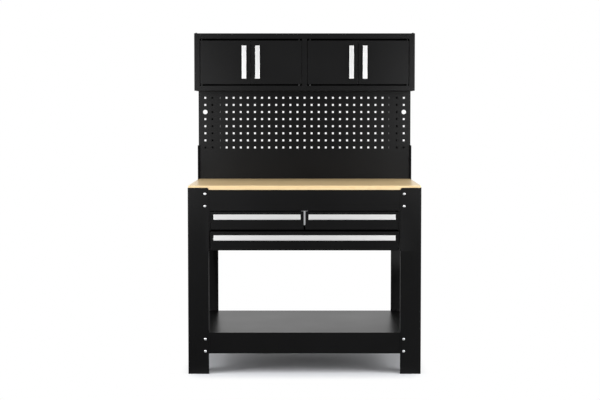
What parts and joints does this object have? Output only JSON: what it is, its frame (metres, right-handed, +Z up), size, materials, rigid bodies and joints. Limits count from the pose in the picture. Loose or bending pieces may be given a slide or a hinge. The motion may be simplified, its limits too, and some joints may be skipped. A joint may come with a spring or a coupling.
{
  "type": "workbench with wall cabinets",
  "caption": "Steel workbench with wooden top, sliding drawers, low shelf, perforated back wall and a hinged-door wall cabinet above.",
  "frame": {"origin": "on the floor, under the middle of the whole object's box", "axes": "+Z up, front faces -Y, +X to the right seen from the front"},
  "size_m": [1.148, 0.609, 1.689],
  "materials": {
    "black_paint": "satin black powder coat",
    "aluminium": "fine satin",
    "zinc": "bright zinc plated",
    "wood": "clear satin lacquer",
    "catch_plastic": "moulded"
  },
  "bodies": {
    "bench": {"bottom_rail_front": "black_paint", "bottom_rail_left": "black_paint", "bottom_rail_rear": "black_paint", "bottom_rail_right": "black_paint", "cabinet_back": "black_paint", "cabinet_bolts": "zinc", "cabinet_bottom": "black_paint", "cabinet_partition": "black_paint", "cabinet_side_left": "black_paint", "cabinet_side_right": "black_paint", "cabinet_top": "black_paint", "case_back": "black_paint", "case_screws": "black_paint", "centre_hanger": "zinc", "door_catches": "catch_plastic", "door_pivots": "black_paint", "drawer_case": "black_paint", "front_bolts": "zinc", "front_leg_left": "black_paint", "front_leg_right": "black_paint", "pegboard": "black_paint", "rear_bolts": "zinc", "rear_leg_left": "black_paint", "rear_leg_right": "black_paint", "shelf": "black_paint", "side_bolts": "zinc", "slide_channels_top_left": "zinc", "slide_channels_top_right": "zinc", "slide_channels_wide": "zinc", "top_rail_front": "black_paint", "top_rail_left": "black_paint", "top_rail_rear": "black_paint", "top_rail_right": "black_paint", "wall_post_left": "black_paint", "wall_post_right": "black_paint", "worktop": "wood", "worktop_screws": "zinc"},
    "inner_left_door": {"door_handle_inner_left": "aluminium", "door_inner_left": "black_paint"},
    "inner_right_door": {"door_handle_inner_right": "aluminium", "door_inner_right": "black_paint"},
    "outer_left_door": {"door_handle_outer_left": "aluminium", "door_outer_left": "black_paint"},
    "outer_right_door": {"door_handle_outer_right": "aluminium", "door_outer_right": "black_paint"},
    "drawer_top_left": {"drawer_box_top_left": "black_paint", "drawer_front_top_left": "black_paint", "drawer_pull_top_left": "aluminium", "slide_bars_top_left": "zinc"},
    "drawer_top_right": {"drawer_box_top_right": "black_paint", "drawer_front_top_right": "black_paint", "drawer_pull_top_right": "aluminium", "slide_bars_top_right": "zinc"},
    "drawer_wide": {"drawer_box_wide": "black_paint", "drawer_front_wide": "black_paint", "drawer_pull_wide": "aluminium", "slide_bars_wide": "zinc"},
    "runners_top_left": {"slide_runners_top_left": "zinc"},
    "runners_top_right": {"slide_runners_top_right": "zinc"},
    "runners_wide": {"slide_runners_wide": "zinc"}
  },
  "joints": [
    {"name": "drawer_top_left_slide", "type": "slide", "parent": "bench", "child": "drawer_top_left", "axis": [0, -1, 0], "range_m": [0, 0.4]},
    {"name": "runners_top_left_slide", "type": "slide", "parent": "bench", "child": "runners_top_left", "axis": [0, -1, 0], "range_m": [0, 0.2]},
    {"name": "drawer_top_right_slide", "type": "slide", "parent": "bench", "child": "drawer_top_right", "axis": [0, -1, 0], "range_m": [0, 0.4]},
    {"name": "runners_top_right_slide", "type": "slide", "parent": "bench", "child": "runners_top_right", "axis": [0, -1, 0], "range_m": [0, 0.2]},
    {"name": "drawer_wide_slide", "type": "slide", "parent": "bench", "child": "drawer_wide", "axis": [0, -1, 0], "range_m": [0, 0.4]},
    {"name": "runners_wide_slide", "type": "slide", "parent": "bench", "child": "runners_wide", "axis": [0, -1, 0], "range_m": [0, 0.2]},
    {"name": "outer_left_hinge", "type": "hinge", "parent": "bench", "child": "outer_left_door", "pos_m": [-0.5275, 0.019, 1.54], "axis": [0, 0, -1], "range_deg": [0, 110]},
    {"name": "inner_left_hinge", "type": "hinge", "parent": "bench", "child": "inner_left_door", "pos_m": [-0.028, 0.019, 1.54], "axis": [0, 0, 1], "range_deg": [0, 90]},
    {"name": "inner_right_hinge", "type": "hinge", "parent": "bench", "child": "inner_right_door", "pos_m": [0.028, 0.019, 1.54], "axis": [0, 0, -1], "range_deg": [0, 90]},
    {"name": "outer_right_hinge", "type": "hinge", "parent": "bench", "child": "outer_right_door", "pos_m": [0.5275, 0.019, 1.54], "axis": [0, 0, 1], "range_deg": [0, 110]}
  ],
  "couplings": [
    {"joint": "runners_top_left_slide", "follows": "drawer_top_left_slide", "ratio": 0.5},
    {"joint": "runners_top_right_slide", "follows": "drawer_top_right_slide", "ratio": 0.5},
    {"joint": "runners_wide_slide", "follows": "drawer_wide_slide", "ratio": 0.5}
  ]
}
